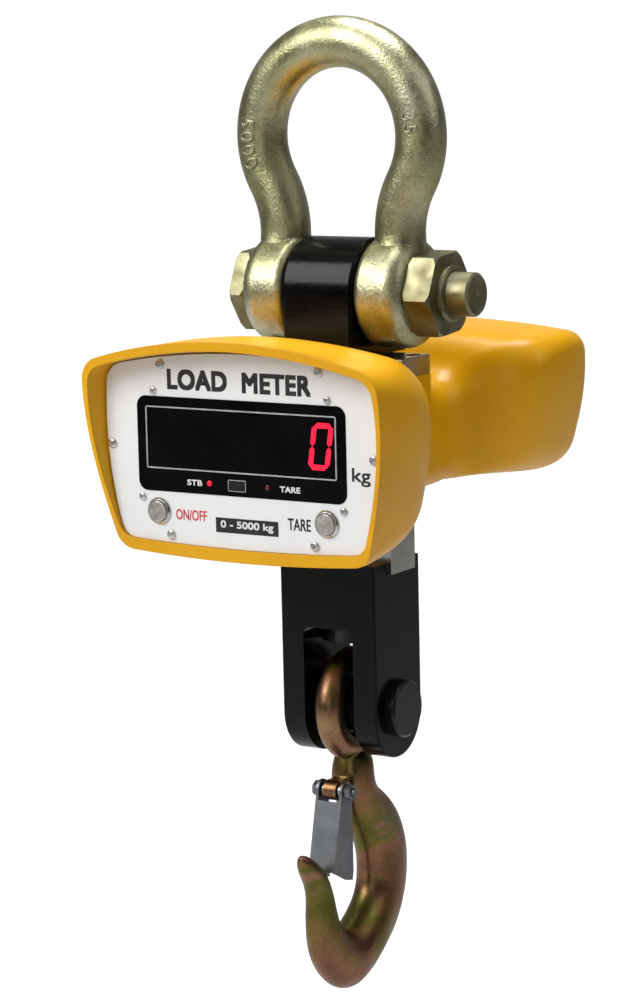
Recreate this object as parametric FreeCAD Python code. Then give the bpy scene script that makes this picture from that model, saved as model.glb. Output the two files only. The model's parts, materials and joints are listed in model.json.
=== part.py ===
import FreeCAD, Part
import math
import os

# A hanging crane scale. All shapes are built about the shackle bolt: X runs along the bolt,
# the display looks towards -Y and Z points up. Every shape is then lowered so that the
# origin is the point inside the shackle's crown where the crane hook bears.

# ---------------------------------------------------------------- driving dimensions, mm
HANG_RISE = 152.0            # shackle bolt axis up to the inside of the crown

# shackle
BOW_R = 17.5                 # bar radius of the bow
BOW_BEND = 63.5              # bend radius of the bow's centreline round the crown
NECK_BEND = 70.0             # reverse bend radius where the limbs run down to the eyes
JAW_HALF = 28.5              # half the width between the eyes
EYE_OUT = 63.5               # outer face of each eye
EYE_R = 38.0
EYE_ROUND = 12.0             # rounding of the eyes' outer rims
JAW_ROUND = 6.0              # and of the rims inside the jaw
BOLT_R = 19.0
BOLT_END = 88.0              # end of the bolt's thread
STUB_R = 15.0
STUB_END = 105.0
NUT_FLATS = 54.0
NUT_T = 20.5
HEAD_T = 11.5
NUT_TURN = 35.0              # degrees that the hexagons are turned about the bolt

# lug on top of the load cell
LUG_HALF = 27.5
LUG_R = 37.0
RUNNING = 0.06               # radial clearance of a running fit

# load cell
FLANGE_TOP = -43.7
FLANGE_T = 13.3
FLANGE_HALF = 57.0
FLANGE_DEPTH = 18.7
CELL_HALF = 44.0
CELL_DEPTH = 16.0
CELL_BOTTOM = -193.0
STUD_R = 12.0
LUG_STUD_TOP = -24.0
LUG_STUD_BOTTOM = -78.0
POCKET_R = 18.0
POCKET_DEPTH = 12.0
POCKET_Z = -103.0
GAUGE_COVER_T = 2.0
LEAD_R = 2.2
GLAND_R = 5.0
GLAND_LONG = 9.0
FLANGE_SCREW = (49.5, 8.0)   # one screw at each end of the flange, on a diagonal
COUNTERBORE = 9.0            # depth of the screws' recesses
COUNTERBORE_R = 5.5

# clevis and hook pin
CLEVIS_HALF = 38.0
CLEVIS_DEPTH = 31.0
CLEVIS_TOP = -186.0
SLOT_HALF = 20.0
SLOT_TOP = -232.0
HOOK_PIN_Z = -290.5
CLEVIS_ROUND_Z = -294.5      # centre of the clevis's rounded end
PIN_R = 20.0
PIN_PROUD = 7.5
CLEVIS_BOLT_TOP = -160.0
CLEVIS_BOLT_FLATS = 36.0
CLEVIS_BOLT_HEAD = 12.5
KEEPER_LIP = 4.0             # how far the keeper plate reaches into the pin's notch
KEEPER_T = 4.0
KEEPER_HALF = 13.0
KEEPER_HIGH = 20.0

# hook: eye, then stations along the centreline as
# (depth y, height z, half thickness in the hook's plane, half width across it)
EYE_BEND = 30.5
EYE_BAR_R = 10.0
HOOK_STATIONS = [
    (0.0, -324.0, 13.0, 9.5),
    (-1.5, -340.0, 15.2, 15.0),
    (3.0, -357.0, 16.0, 15.3),
    (19.8, -377.0, 20.5, 15.5),
    (33.2, -398.5, 23.6, 15.5),
    (35.2, -421.5, 23.2, 16.0),
    (25.0, -446.0, 21.3, 16.5),
    (4.4, -463.0, 21.0, 17.0),
    (-18.0, -471.5, 21.8, 16.5),
    (-36.3, -459.8, 17.2, 15.0),
    (-45.4, -442.2, 12.8, 12.5),
    (-47.8, -429.7, 11.2, 11.0),
    (-50.4, -415.5, 10.0, 9.5),
    (-57.1, -402.2, 8.6, 8.5),
    (-65.2, -393.2, 6.6, 6.8),
    (-69.3, -388.2, 4.4, 4.8),
    (-71.3, -385.0, 1.6, 2.0),
]

# latch: pivot, then its channel measured along and behind its front web
LATCH_Y = -27.4
LATCH_Z = -347.5
LATCH_LEAN = 12.9            # degrees the web leans forward from vertical
LATCH_HALF = 10.5
LATCH_T = 2.0
LATCH_TOP = 8.0              # web's top edge below the pivot
LATCH_LONG = 57.0            # web's bottom edge below the pivot
LATCH_TAIL = 62.0            # cheeks' bottom edges at the back
LATCH_WEB = -6.2             # web's face in front of the pivot
LATCH_BACK = 20.0            # flanges' lower corners behind the pivot
LATCH_EAR_R = 7.0
LATCH_BOLT_R = 3.0
BOSS_HALF = 5.0
LATCH_HEX = 10.0             # across flats, bolt head and nut
LATCH_PLAY = 0.3             # end play of the latch between bolt head and nut
LATCH_BOLT_END = 18.0
SPRING_R = 4.8
SPRING_HOLE_R = 3.6

# housing outlines, each measured as
# (y, top, (corner x, z), (corner x, z), bottom, (upper bulge, lower bulge), top round, bottom round)
HEAD_TILT = 7.2              # degrees the hood's front edge leans, top forward
HEAD_MID_Z = -94.5
HEAD_RIM = (-144.9, -19.5, (114.0, -37.5), (97.0, -165.0), -169.5, (6.2, 5.0), 18.0, 15.0)
HEAD_RIM_INSIDE = (-144.9, -26.0, (109.5, -42.0), (94.5, -157.0), -160.5, (6.6, 5.6), 14.0, 12.0)
HEAD_OUTSIDE = [
    (-118.0, -21.0, (115.0, -38.5), (97.0, -164.0), -169.0, (7.0, 5.5), 23.0, 20.0),
    (-78.0, -29.0, (110.0, -42.0), (95.0, -161.0), -166.0, (6.0, 5.0), 36.0, 38.0),
    (-58.0, -42.0, (97.0, -52.0), (86.0, -155.0), -159.0, (5.0, 4.0), 36.0, 38.0),
    (-44.0, -55.0, (76.0, -62.0), (70.0, -146.0), -149.0, (4.0, 3.0), 30.0, 30.0),
]
NECK_FRONT = (-32.0, -64.0, (57.0, -66.0), (57.0, -139.5), -140.5, (0.5, 0.5), 20.0, 14.0)
NECK_BACK = (40.0, -63.5, (57.0, -65.5), (57.0, -137.0), -138.0, (0.5, 0.5), 20.0, 14.0)
REAR_OUTSIDE = [
    (54.0, -60.0, (63.0, -62.0), (62.0, -136.0), -137.0, (1.5, 1.0), 22.0, 18.0),
    (66.0, -46.0, (87.0, -50.0), (77.0, -134.5), -135.5, (4.0, 3.0), 24.0, 26.0),
    (80.0, -35.0, (107.0, -41.5), (91.0, -134.0), -135.0, (5.0, 4.0), 22.0, 30.0),
    (100.0, -31.5, (112.0, -39.5), (95.5, -135.5), -136.5, (5.5, 4.5), 16.0, 30.0),
    (136.0, -31.0, (112.5, -39.0), (97.0, -137.0), -138.0, (5.5, 4.5), 14.0, 29.0),
    (144.0, -33.0, (110.5, -41.0), (95.5, -135.5), -136.5, (5.5, 4.5), 14.0, 28.0),
    (147.0, -37.0, (106.5, -44.5), (92.5, -132.0), -133.0, (5.0, 4.0), 13.0, 26.0),
]
HEAD_INSIDE = [
    (-80.0, -39.5, (98.0, -51.0), (84.0, -152.0), -155.0, (5.0, 4.0), 28.0, 30.0),
]
NECK_INSIDE_FRONT = (-44.0, -71.0, (50.0, -73.0), (50.0, -132.5), -133.5, (0.5, 0.5), 13.0, 9.0)
NECK_INSIDE_BACK = (54.0, -71.0, (50.0, -73.0), (50.0, -129.5), -130.5, (0.5, 0.5), 13.0, 9.0)
REAR_INSIDE = [
    (86.0, -43.0, (98.0, -49.0), (84.0, -126.5), -127.5, (4.0, 3.0), 16.0, 22.0),
]
NECK_TOP = -64.0
NECK_BOTTOM = -140.5
NECK_WALL = 7.0
CELL_GAP = 0.4               # casting's clearance round the load cell
SEAL_W = 2.5
SEAL_LIP = 2.0               # the lip's thickness under the casting
PANEL_FIT = 0.6              # gap round the panel in its recess

# front panel and what it carries
PANEL_FRONT = -134.5
PANEL_T = 2.0
PANEL_GASKET_T = 1.5
PANEL = (-30.0, (105.5, -41.5), (94.0, -156.8), -160.0, (4.8, 5.2), 14.5, 12.5)
PANEL_GASKET_HOLE = (-38.5, (97.0, -49.0), (87.5, -148.5), -151.5, (4.8, 4.5), 12.0, 12.0)
PANEL_SCREWS = [(61.9, -39.1), (102.5, -94.1), (56.6, -153.2)]
BOARD_SCREWS = [(68.1, -56.9), (79.0, -128.8)]
WINDOW_HALF = 81.7
WINDOW_TOP = -60.5
WINDOW_BOTTOM = -124.4
WINDOW_ROUND = 7.0
WINDOW_T = 3.0
WINDOW_PROUD = 0.3
FRAME_HALF = 74.6
FRAME_TOP = -67.1
FRAME_BOTTOM = -109.1
FRAME_W = 0.9
FRAME_PROUD = 0.5
DIGIT_COUNT = 5
DIGIT_PITCH = 31.3
DIGIT_MID_Z = -88.1
DIGIT_BODY = (27.8, 38.0, 10.0)
DIGIT_HIGH = 30.0
DIGIT_WIDE = 16.0
SEGMENT_W = 3.4
SEGMENT_T = 0.8
DIGIT_SLANT = 8.0
LAMPS_Z = -116.8
LAMP_X = [-24.6, 21.0]
LAMP_R = 1.6
RECEIVER_X = -3.0
RECEIVER = (13.0, 7.0)
BUTTON_X = 65.9
BUTTON_Z = -138.0
BEZEL_R = 9.25
BUTTON_R = 7.0
BUTTON_HOLE_R = 7.3
SLEEVE_R = 8.0
BUTTON_PROUD = 3.0
BUTTON_TRAVEL = 1.5

DISPLAY_BOARD_Y = -119.5
MAIN_BOARD_Y = -98.0
BOARD_T = 1.6
BOARD = (78.0, -62.0, -128.0)        # half width, top, bottom
MAIN_BOARD = (60.0, -66.0, -146.0)

# rear box
REAR_FACE = 147.0
COVER_T = 3.0
REAR_GASKET_T = 1.5
COVER = (-45.0, (100.5, -51.5), (87.0, -126.5), -127.5, (4.5, 4.0), 11.0, 21.0)
REAR_HOLE = (-50.0, (95.0, -56.0), (82.5, -121.0), -122.0, (4.3, 3.8), 9.0, 18.0)
COVER_SCREWS = [(0.0, -47.6), (70.0, -50.5), (-70.0, -50.5),
                (0.0, -124.8), (58.0, -124.3), (-58.0, -124.3)]
BATTERY = (50.5, 88.0, 133.0, -120.5, -52.5)   # half width, front, back, bottom, top
TRAY = (67.0, 84.0, 137.0, 12.0)      # half width, front, back, thickness under the battery
SOCKET_X = 62.0
SOCKET_Z = -92.0
SOCKET_R = 8.0
SOCKET_PROUD = 9.0
SOCKET_WALL = 1.2


# ---------------------------------------------------------------- small helpers
def vec(x, y, z):
    return FreeCAD.Vector(x, y, z)


X_AXIS = vec(1, 0, 0)
Y_AXIS = vec(0, 1, 0)
Z_AXIS = vec(0, 0, 1)
FRONT = vec(0, -1, 0)


def box(x0, x1, y0, y1, z0, z1):
    return Part.makeBox(x1 - x0, y1 - y0, z1 - z0, vec(x0, y0, z0))


def rod(radius, start, end):
    run = end.sub(start)
    return Part.makeCylinder(radius, run.Length, start, run)


def tube(outer, inner, start, end):
    return rod(outer, start, end).cut(rod(inner, start, end))


def edges_along(shape, direction):
    """Straight edges that run along one direction."""
    found = []
    for edge in shape.Edges:
        if isinstance(edge.Curve, Part.Line):
            if abs(edge.Curve.Direction.dot(direction)) > 0.999:
                found.append(edge)
    return found


def rounded_box(x0, x1, y0, y1, z0, z1, radius, direction):
    block = box(x0, x1, y0, y1, z0, z1)
    return block.makeFillet(radius, edges_along(block, direction))


def bevel_ends(shape, size, direction):
    """Chamfer the circular rims whose axis is along one direction."""
    rims = []
    for edge in shape.Edges:
        if isinstance(edge.Curve, Part.Circle):
            if abs(edge.Curve.Axis.dot(direction)) > 0.999:
                rims.append(edge)
    return shape.makeChamfer(size, rims)


def pointed(shape, point, direction):
    """A shape built along +Z, turned to point along a direction and moved to a point."""
    placed = shape.copy()
    placed.Placement = FreeCAD.Placement(point, FreeCAD.Rotation(Z_AXIS, direction))
    return placed


def hexagon(flats, height, turn=0.0):
    """Hexagonal prism along +Z with its corners bevelled at both ends."""
    corner = flats / math.sqrt(3)
    points = []
    for step in range(7):
        angle = math.radians(turn + 60 * step)
        points.append(vec(corner * math.cos(angle), corner * math.sin(angle), 0))
    prism = Part.Face(Part.makePolygon(points)).extrude(vec(0, 0, height))
    bevel = (corner - flats / 2) * 0.9
    round_bar = bevel_ends(Part.makeCylinder(corner, height), bevel * 0.6, Z_AXIS)
    return prism.common(round_bar)


def screw(head_r, head_h, shank_r, shank_len, socket_flats):
    """Button-head socket screw along +Z: the head's seat is at the origin."""
    head = Part.makeCylinder(head_r, head_h)
    top = [edge for edge in head.Edges if edge.CenterOfMass.z > head_h - 0.01]
    head = head.makeFillet(min(head_h * 0.75, head_r * 0.6), top)
    shank = Part.makeCylinder(shank_r, shank_len, vec(0, 0, -shank_len))
    deep = head_h * 0.6
    recess = hexagon(socket_flats, head_h).translated(vec(0, 0, head_h - deep))
    return head.fuse(shank).cut(recess)


def outline(y, top, top_corner, bottom_corner, bottom, bulge, top_round, bottom_round):
    """Closed wire at depth y: crowned top, bulging sides, bellied bottom, rounded corners."""
    x1, z1 = top_corner
    x2, z2 = bottom_corner
    side = vec(x2 - x1, 0, z2 - z1)
    length = side.Length
    out = vec(-side.z / length, 0, side.x / length)
    high = vec(x1, y, z1).add(side * 0.3).add(out * bulge[0])
    low = vec(x1, y, z1).add(side * 0.7).add(out * bulge[1])
    edges = [Part.Arc(vec(-x1, y, z1), vec(0, y, top), vec(x1, y, z1)).toShape(),
             Part.Arc(vec(-x2, y, z2), vec(0, y, bottom), vec(x2, y, z2)).toShape()]
    for sign in (1, -1):
        flank = Part.BSplineCurve()
        flank.interpolate([vec(sign * x1, y, z1), vec(sign * high.x, y, high.z),
                           vec(sign * low.x, y, low.z), vec(sign * x2, y, z2)])
        edges.append(flank.toShape())
    edges = Part.__sortEdges__(edges)
    slab = Part.Face(Part.Wire(edges)).extrude(Y_AXIS)
    upper = [edge for edge in edges_along(slab, Y_AXIS) if edge.CenterOfMass.z > (z1 + z2) / 2]
    slab = slab.makeFillet(top_round, upper)
    lower = [edge for edge in edges_along(slab, Y_AXIS)
             if abs(abs(edge.CenterOfMass.x) - x2) < 0.01 and abs(edge.CenterOfMass.z - z2) < 0.01]
    slab = slab.makeFillet(bottom_round, lower)
    for face in slab.Faces:
        if abs(face.CenterOfMass.y - y) < 1e-6:
            return face.OuterWire
    raise ValueError("no face at depth %s" % y)


def plate(front, thickness, shape):
    """Flat plate of one outline, from depth front backwards."""
    return Part.Face(outline(front, *shape)).extrude(vec(0, thickness, 0))


def leaned(wire, y):
    """A front outline leaned about the head's middle so that its top comes forward."""
    turned = wire.copy()
    turned.rotate(vec(0, y, HEAD_MID_Z), X_AXIS, HEAD_TILT)
    return turned


def both_sides(points):
    return [(sign * x, z) for x, z in points for sign in (1, -1)]


def slice_wire(y, z, tangent, half_in_plane, half_across):
    """Ellipse across a bar that runs in the plane X = 0."""
    scale = FreeCAD.Matrix()
    scale.scale(half_in_plane, half_across, 1.0)
    ring = Part.Wire(Part.Circle(vec(0, 0, 0), Z_AXIS, 1.0).toShape()).transformGeometry(scale)
    along = vec(0, tangent.y, tangent.z).normalize()
    in_plane = X_AXIS.cross(along)
    matrix = FreeCAD.Matrix(in_plane.x, X_AXIS.x, along.x, 0,
                            in_plane.y, X_AXIS.y, along.y, y,
                            in_plane.z, X_AXIS.z, along.z, z,
                            0, 0, 0, 1)
    return ring.transformGeometry(matrix)


NODES = []


def save(name, *solids):
    shape = solids[0] if len(solids) == 1 else Part.makeCompound(list(solids))
    lowered = shape.translated(vec(0, 0, -HANG_RISE))
    lowered.exportStep("parts/%s.step" % name)
    NODES.append(name)
    volume = sum(solid.Volume for solid in lowered.Solids)
    print("%-20s %2d solid(s) %10.0f mm3 %s" % (name, len(lowered.Solids), volume, lowered.isValid()))


# ---------------------------------------------------------------- shackle
def shackle_bow():
    mid = (JAW_HALF + EYE_OUT) / 2
    reach = BOW_BEND + NECK_BEND
    sweep = math.acos((mid + NECK_BEND) / reach)
    crown_z = HANG_RISE + BOW_R - BOW_BEND
    bend_x = mid + NECK_BEND
    bend_z = crown_z - reach * math.sin(sweep)
    degrees = math.degrees(sweep)
    joint_x = BOW_BEND * math.cos(sweep)
    joint_z = crown_z - BOW_BEND * math.sin(sweep)
    along = vec(math.sin(sweep), 0, math.cos(sweep))
    section = Part.Face(Part.Wire(Part.makeCircle(BOW_R, vec(joint_x, 0, joint_z), along)))
    crown = section.revolve(vec(0, 0, crown_z), vec(0, -1, 0), 180 + 2 * degrees)
    bow = crown
    for side in (1, -1):
        start = Part.Face(Part.Wire(Part.makeCircle(BOW_R, vec(side * mid, 0, bend_z), Z_AXIS)))
        limb = start.revolve(vec(side * bend_x, 0, bend_z), vec(0, side, 0), degrees)
        eye = rod(EYE_R, vec(side * JAW_HALF, 0, 0), vec(side * EYE_OUT, 0, 0))
        rims = [edge for edge in eye.Edges if isinstance(edge.Curve, Part.Circle)]
        eye = eye.makeFillet(EYE_ROUND, [rim for rim in rims if abs(rim.CenterOfMass.x) > mid])
        rims = [edge for edge in eye.Edges if isinstance(edge.Curve, Part.Circle)]
        inner = [rim for rim in rims if abs(abs(rim.CenterOfMass.x) - JAW_HALF) < 0.01]
        eye = eye.makeFillet(JAW_ROUND, inner)
        sections = []
        for height, half_x, half_y in ((bend_z, BOW_R, BOW_R), (28.0, 17.3, 20.5), (12.0, 16.9, 33.0)):
            scale = FreeCAD.Matrix()
            scale.scale(half_x, half_y, 1.0)
            ring = Part.Wire(Part.Circle(vec(0, 0, 0), Z_AXIS, 1.0).toShape()).transformGeometry(scale)
            sections.append(ring.translated(vec(side * mid, 0, height)))
        shoulder = Part.makeLoft(sections, True, False)
        bow = bow.fuse([limb, shoulder, eye])
    hole = rod(BOLT_R, vec(-EYE_OUT - 5, 0, 0), vec(EYE_OUT + 5, 0, 0))
    jaw = rod(EYE_R + 2, vec(-JAW_HALF, 0, 0), vec(JAW_HALF, 0, 0))
    return bow.cut([hole, jaw]).removeSplitter()


def shackle_bolt():
    head = pointed(hexagon(NUT_FLATS, HEAD_T, NUT_TURN), vec(-EYE_OUT - HEAD_T, 0, 0), X_AXIS)
    shank = rod(BOLT_R, vec(-EYE_OUT, 0, 0), vec(BOLT_END, 0, 0))
    stub = bevel_ends(rod(STUB_R, vec(0, 0, 0), vec(STUB_END, 0, 0)), 1.5, X_AXIS)
    centre = Part.makeCone(0, 1.8, 3, vec(STUB_END - 3, 0, 0), X_AXIS)
    return head.fuse([bevel_ends(shank, 1.5, X_AXIS), stub]).cut(centre)


def shackle_nut():
    nut = pointed(hexagon(NUT_FLATS, NUT_T, NUT_TURN), vec(EYE_OUT, 0, 0), X_AXIS)
    return nut.cut(rod(BOLT_R, vec(EYE_OUT - 1, 0, 0), vec(EYE_OUT + NUT_T + 1, 0, 0)))


# ---------------------------------------------------------------- load path
def lug_stud():
    return rod(STUD_R, vec(0, 0, LUG_STUD_BOTTOM), vec(0, 0, LUG_STUD_TOP))


def suspension_lug():
    eye = rod(LUG_R, vec(-LUG_HALF, 0, 0), vec(LUG_HALF, 0, 0))
    foot = box(-LUG_HALF, LUG_HALF, -LUG_R, LUG_R, FLANGE_TOP, 0)
    lug = eye.fuse(foot).removeSplitter()
    lug = bevel_ends(lug, 2.0, X_AXIS)
    hole = rod(BOLT_R + RUNNING, vec(-LUG_HALF - 1, 0, 0), vec(LUG_HALF + 1, 0, 0))
    return lug.cut([hole, lug_stud()])


def flange_screws():
    x, y = FLANGE_SCREW
    seat = FLANGE_TOP - COUNTERBORE
    return [pointed(screw(5.0, 6.0, 3.0, 18.0, 5.0), vec(sign * x, sign * y, seat), Z_AXIS)
            for sign in (1, -1)]


def clevis_bolt():
    head = hexagon(CLEVIS_BOLT_FLATS, CLEVIS_BOLT_HEAD, 30.0)
    head = head.translated(vec(0, 0, SLOT_TOP - CLEVIS_BOLT_HEAD))
    return head.fuse(rod(STUD_R, vec(0, 0, SLOT_TOP), vec(0, 0, CLEVIS_BOLT_TOP)))


def load_cell():
    flange = box(-FLANGE_HALF, FLANGE_HALF, -FLANGE_DEPTH, FLANGE_DEPTH, FLANGE_TOP - FLANGE_T, FLANGE_TOP)
    flange = flange.makeChamfer(0.8, flange.Edges)
    body = box(-CELL_HALF, CELL_HALF, -CELL_DEPTH, CELL_DEPTH, CELL_BOTTOM, FLANGE_TOP - 1)
    body = body.makeChamfer(0.8, edges_along(body, Z_AXIS))
    cell = flange.fuse(body)
    tools = [lug_stud(), clevis_bolt()] + flange_screws()
    x, y = FLANGE_SCREW
    for sign in (1, -1):
        tools.append(rod(COUNTERBORE_R, vec(sign * x, sign * y, FLANGE_TOP - COUNTERBORE),
                         vec(sign * x, sign * y, FLANGE_TOP + 1)))
        tools.append(rod(POCKET_R, vec(0, sign * (CELL_DEPTH - POCKET_DEPTH), POCKET_Z),
                         vec(0, sign * (CELL_DEPTH + 1), POCKET_Z)))
    return cell.cut(tools)


def strain_gauges():
    gauges = []
    web = CELL_DEPTH - POCKET_DEPTH
    for sign in (1, -1):
        for x in (-7.0, 7.0):
            y0, y1 = sorted((sign * web, sign * (web + 0.3)))
            gauges.append(box(x - 4, x + 4, y0, y1, POCKET_Z - 6, POCKET_Z + 6))
    return gauges


def gauge_covers():
    covers = []
    for sign in (1, -1):
        start = vec(0, sign * (CELL_DEPTH - GAUGE_COVER_T), POCKET_Z)
        covers.append(rod(POCKET_R, start, vec(0, sign * CELL_DEPTH, POCKET_Z)))
    return covers


def lead_gland():
    """Small gland on the front gauge cover, where the lead leaves."""
    tip = vec(0, -CELL_DEPTH - GLAND_LONG, POCKET_Z)
    return bevel_ends(tube(GLAND_R, LEAD_R, tip, vec(0, -CELL_DEPTH, POCKET_Z)), 0.8, Y_AXIS)


def load_cell_lead():
    """Lead from the front gauge cover straight to the terminal block on the main board."""
    start = vec(0, -CELL_DEPTH, POCKET_Z)
    end = vec(0, MAIN_BOARD_Y + BOARD_T + 4, POCKET_Z)
    return rod(LEAD_R, start, end)


def clevis():
    round_z = CLEVIS_ROUND_Z
    body = box(-CLEVIS_HALF, CLEVIS_HALF, -CLEVIS_DEPTH, CLEVIS_DEPTH, round_z, CLEVIS_TOP)
    body = body.fuse(rod(CLEVIS_DEPTH, vec(-CLEVIS_HALF, 0, round_z), vec(CLEVIS_HALF, 0, round_z)))
    body = body.removeSplitter()
    body = body.makeFillet(1.5, edges_along(body, Z_AXIS))
    slot = rounded_box(-SLOT_HALF, SLOT_HALF, -60, 60, HOOK_PIN_Z - 90, SLOT_TOP, 6.0, Y_AXIS)
    groove = box(-60, 60, -CELL_DEPTH, CELL_DEPTH, CELL_BOTTOM, CLEVIS_TOP + 5)
    notch = keeper_space()
    return body.cut([slot, groove, clevis_bolt(), hook_pin_blank(), notch] + keeper_screws())


def hook_pin_blank():
    end = CLEVIS_HALF + PIN_PROUD
    return rod(PIN_R, vec(-end, 0, HOOK_PIN_Z), vec(end, 0, HOOK_PIN_Z))


def keeper_space():
    """Where the keeper plate lies: against the cheek at -X, above the pin."""
    low = HOOK_PIN_Z + PIN_R - KEEPER_LIP
    return box(-CLEVIS_HALF - KEEPER_T, -CLEVIS_HALF, -KEEPER_HALF, KEEPER_HALF, low, low + KEEPER_HIGH)


def keeper_screws():
    z = HOOK_PIN_Z + PIN_R - KEEPER_LIP + KEEPER_HIGH * 0.6
    blank = screw(3.5, 2.2, 2.0, 12.0, 2.5)
    return [pointed(blank, vec(-CLEVIS_HALF - KEEPER_T, y, z), vec(-1, 0, 0)) for y in (-8.0, 8.0)]


def pin_keeper():
    plate_blank = keeper_space()
    return plate_blank.makeFillet(2.0, edges_along(plate_blank, X_AXIS)).cut(keeper_screws())


def hook_pin():
    pin = bevel_ends(hook_pin_blank(), 1.5, X_AXIS)
    return pin.cut(keeper_space())


# ---------------------------------------------------------------- hook and latch
def hook():
    course = Part.BSplineCurve()
    course.interpolate([vec(0, y, z) for y, z, a, b in HOOK_STATIONS])
    sections = []
    for y, z, in_plane, across in HOOK_STATIONS:
        tangent = course.tangent(course.parameter(vec(0, y, z)))[0]
        sections.append(slice_wire(y, z, tangent, in_plane, across))
    bar = Part.makeLoft(sections, True, False)
    eye = Part.makeTorus(EYE_BEND, EYE_BAR_R, vec(0, 0, HOOK_PIN_Z), X_AXIS)
    boss = rod(LATCH_EAR_R, vec(-BOSS_HALF, LATCH_Y, LATCH_Z), vec(BOSS_HALF, LATCH_Y, LATCH_Z))
    arm = box(-BOSS_HALF, BOSS_HALF, LATCH_Y, -2, LATCH_Z - LATCH_EAR_R, LATCH_Z + LATCH_EAR_R)
    hole = rod(LATCH_BOLT_R, vec(-30, LATCH_Y, LATCH_Z), vec(30, LATCH_Y, LATCH_Z))
    return bar.fuse([eye, boss, arm]).cut(hole)


def latch_frame(along, behind):
    """A point of the latch, from distances down its web and behind its pivot."""
    lean = math.radians(LATCH_LEAN)
    y = LATCH_Y - along * math.sin(lean) + behind * math.cos(lean)
    z = LATCH_Z - along * math.cos(lean) - behind * math.sin(lean)
    return vec(0, y, z)


def latch_profile(points, x0, x1):
    wire = Part.makePolygon([latch_frame(*point) for point in points + points[:1]])
    return Part.Face(wire).extrude(vec(x1 - x0, 0, 0)).translated(vec(x0, 0, 0))


def latch():
    web_back = LATCH_WEB + LATCH_T
    web = latch_profile([(LATCH_TOP, LATCH_WEB), (LATCH_LONG, LATCH_WEB),
                         (LATCH_LONG, web_back), (LATCH_TOP, web_back)], -LATCH_HALF, LATCH_HALF)
    solid = web
    cheek = [(0, LATCH_WEB), (LATCH_LONG, LATCH_WEB), (LATCH_TAIL, LATCH_BACK - 8),
             (LATCH_TAIL, LATCH_BACK), (LATCH_TAIL - 6, LATCH_BACK), (0, LATCH_EAR_R)]
    for side in (1, -1):
        x0, x1 = sorted((side * (LATCH_HALF - LATCH_T), side * LATCH_HALF))
        ear = rod(LATCH_EAR_R, vec(x0, LATCH_Y, LATCH_Z), vec(x1, LATCH_Y, LATCH_Z))
        solid = solid.fuse([latch_profile(cheek, x0, x1), ear])
    hole = rod(LATCH_BOLT_R + RUNNING, vec(-30, LATCH_Y, LATCH_Z), vec(30, LATCH_Y, LATCH_Z))
    return solid.removeSplitter().cut(hole)


def latch_bolt():
    head_x = LATCH_HALF + LATCH_PLAY
    head = pointed(hexagon(LATCH_HEX, 4.0), vec(-head_x - 4.0, LATCH_Y, LATCH_Z), X_AXIS)
    return head.fuse(rod(LATCH_BOLT_R, vec(-head_x, LATCH_Y, LATCH_Z), vec(LATCH_BOLT_END, LATCH_Y, LATCH_Z)))


def latch_nut():
    nut = pointed(hexagon(LATCH_HEX, 5.0), vec(LATCH_HALF + LATCH_PLAY, LATCH_Y, LATCH_Z), X_AXIS)
    return nut.cut(latch_bolt())


def latch_spring():
    """Two coils round the latch bolt, one each side of the hook's boss."""
    coils = []
    for side in (1, -1):
        start = vec(side * BOSS_HALF, LATCH_Y, LATCH_Z)
        end = vec(side * (LATCH_HALF - LATCH_T - 0.4), LATCH_Y, LATCH_Z)
        coils.append(tube(SPRING_R, SPRING_HOLE_R, start, end))
    return coils


# ---------------------------------------------------------------- casting
def loft(sections, ruled=False):
    return Part.makeLoft([outline(*section) for section in sections], True, ruled)


def housing_outside():
    front = leaned(outline(*HEAD_RIM), HEAD_RIM[0])
    head_wires = [front] + [outline(*section) for section in HEAD_OUTSIDE + [NECK_FRONT]]
    head = Part.makeLoft(head_wires, True, False)
    link = loft([NECK_FRONT, NECK_BACK], True)
    rear = loft([NECK_BACK] + REAR_OUTSIDE)
    pad = box(-FLANGE_HALF, FLANGE_HALF, -FLANGE_DEPTH, FLANGE_DEPTH, NECK_TOP - 30, FLANGE_TOP - FLANGE_T)
    return link.fuse([head, rear, pad])


def housing_inside():
    recess_back = PANEL_FRONT + PANEL_T + PANEL_GASKET_T
    panel_top, top_corner, bottom_corner, panel_bottom, bulge, top_round, bottom_round = PANEL
    seat = (recess_back, panel_top + PANEL_FIT, (top_corner[0] + PANEL_FIT, top_corner[1] + PANEL_FIT),
            (bottom_corner[0] + PANEL_FIT, bottom_corner[1] - PANEL_FIT), panel_bottom - PANEL_FIT,
            bulge, top_round, bottom_round)
    front = leaned(outline(*HEAD_RIM_INSIDE), HEAD_RIM_INSIDE[0])
    ahead = front.translated(vec(0, -20, 0))
    recess = Part.makeLoft([outline(*seat), front], True, True)
    mouth = Part.makeLoft([front, ahead], True, True)
    head = loft([(recess_back,) + PANEL_GASKET_HOLE] + HEAD_INSIDE + [NECK_INSIDE_FRONT])
    link = loft([NECK_INSIDE_FRONT, NECK_INSIDE_BACK], True)
    hatch_back = REAR_FACE - COVER_T - REAR_GASKET_T
    rear = loft([NECK_INSIDE_BACK] + REAR_INSIDE + [(hatch_back,) + REAR_HOLE])
    hatch = plate(hatch_back, 20, COVER)
    return [recess, mouth, head, link, rear, hatch]


def cell_openings():
    x = CELL_HALF + CELL_GAP
    y = CELL_DEPTH + CELL_GAP
    upper = box(-x, x, -y, y, NECK_TOP - NECK_WALL - 5, FLANGE_TOP)
    wide_x = CELL_HALF + SEAL_W
    wide_y = CELL_DEPTH + SEAL_W
    lower = box(-wide_x, wide_x, -wide_y, wide_y, NECK_BOTTOM - 5, NECK_BOTTOM + NECK_WALL + 5)
    return [upper, lower]


def battery_tray():
    """Flat floor cast into the rear box, on which the battery stands."""
    half, front, back, thick = TRAY
    low = BATTERY[3]
    return box(-half, half, front, back, low - thick, low)


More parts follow.
